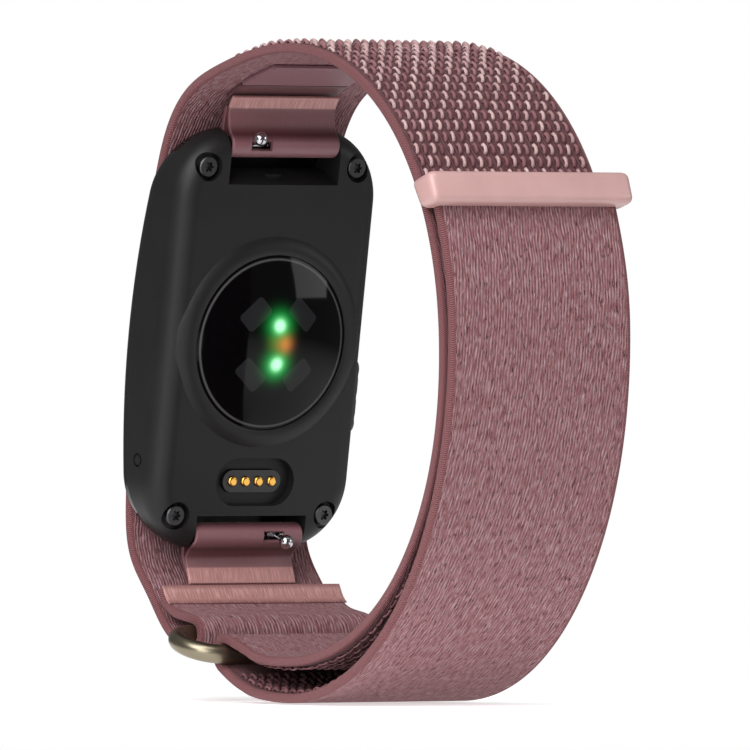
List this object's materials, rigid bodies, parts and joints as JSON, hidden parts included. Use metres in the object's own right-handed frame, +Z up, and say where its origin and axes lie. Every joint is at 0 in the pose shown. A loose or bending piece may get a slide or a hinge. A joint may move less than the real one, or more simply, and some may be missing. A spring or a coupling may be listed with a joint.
{
  "type": "fitness tracker band",
  "caption": "Screenless wrist tracker: oval-cornered optical sensor case on quick-release bars, held by a woven hook-and-loop strap with a slide ring and end cap.",
  "frame": {"origin": "middle of the wrist opening, on the wrist's axis", "axes": "+X along the wrist, +Y from the tracker case to the palm side, +Z up along the strap towards the crown"},
  "size_m": [0.032, 0.0641, 0.0729],
  "materials": {
    "housing_plastic": "fine matte black moulding",
    "cover_gloss": "glossy black cover",
    "seal": "black elastomer and foam",
    "brass": "plain brass",
    "screw_steel": "black oxide",
    "lens": "polished dark lens",
    "circuit_board": "solder mask",
    "chips": "dark package",
    "led": "clear green and amber emitters",
    "inner_plastic": "dark moulding",
    "gold": "gold plate",
    "battery_foil": "pouch foil",
    "steel": "polished stainless steel",
    "flex": "amber film",
    "ribbon": "smooth satin-faced ribbon",
    "woven_strap": "mottled mauve weave",
    "loop_pile": "rows of soft loops",
    "hook": "stiff fine hooks",
    "end_cap": "satin rose moulding",
    "ring_metal": "satin champagne plate"
  },
  "bodies": {
    "band": {"rear_housing": "housing_plastic", "front_cover": "cover_gloss", "cover_seal": "seal", "threaded_inserts": "brass", "case_screws": "screw_steel", "optical_lens": "lens", "lens_gasket": "seal", "sensor_board": "circuit_board", "photodiodes": "chips", "led_emitters": "led", "light_baffle": "inner_plastic", "contact_carrier": "inner_plastic", "charge_contacts": "gold", "battery": "battery_foil", "battery_pad": "seal", "main_board": "circuit_board", "shield_can": "steel", "haptic_motor": "steel", "sensor_flex": "flex", "charge_flex": "flex", "antenna": "flex", "switch_dome": "steel", "side_switch": "chips", "upper_bar_tube": "steel", "upper_fixed_tip": "steel", "upper_bar_spring": "steel", "lower_bar_tube": "steel", "lower_fixed_tip": "steel", "lower_bar_spring": "steel", "upper_ribbon": "ribbon", "lower_ribbon": "ribbon", "strap_loop": "woven_strap", "loop_pile": "loop_pile"},
    "button": {"button_cap": "housing_plastic", "button_plunger": "inner_plastic"},
    "upper_release": {"upper_release_tip": "steel", "upper_release_knob": "steel"},
    "lower_release": {"lower_release_tip": "steel", "lower_release_knob": "steel"},
    "ring": {"ring": "ring_metal", "strap_turn": "woven_strap"},
    "tail": {"strap_tail": "woven_strap", "hook_patch": "hook", "end_cap": "end_cap"}
  },
  "joints": [
    {"name": "button_press", "type": "slide", "parent": "band", "child": "button", "axis": [1, 0, 0], "range_m": [0, 0.0004], "stiffness_N_per_m": 6000, "springref_m": -0.0001, "deforming": ["switch_dome"]},
    {"name": "upper_release", "type": "slide", "parent": "band", "child": "upper_release", "axis": [-1, 0, 0], "range_m": [0, 0.0012], "stiffness_N_per_m": 900, "springref_m": -0.0008, "deforming": ["upper_bar_spring"]},
    {"name": "lower_release", "type": "slide", "parent": "band", "child": "lower_release", "axis": [1, 0, 0], "range_m": [0, 0.0012], "stiffness_N_per_m": 900, "springref_m": -0.0008, "deforming": ["lower_bar_spring"]},
    {"name": "ring_swing", "type": "hinge", "parent": "band", "child": "ring", "pos_m": [0, -0.0232, -0.0309], "axis": [-1, 0, 0], "range_deg": [0, 8]},
    {"name": "tail_peel", "type": "hinge", "parent": "ring", "child": "tail", "pos_m": [0, -0.0128, -0.03665], "axis": [-1, 0, 0], "range_deg": [0, 70]}
  ]
}
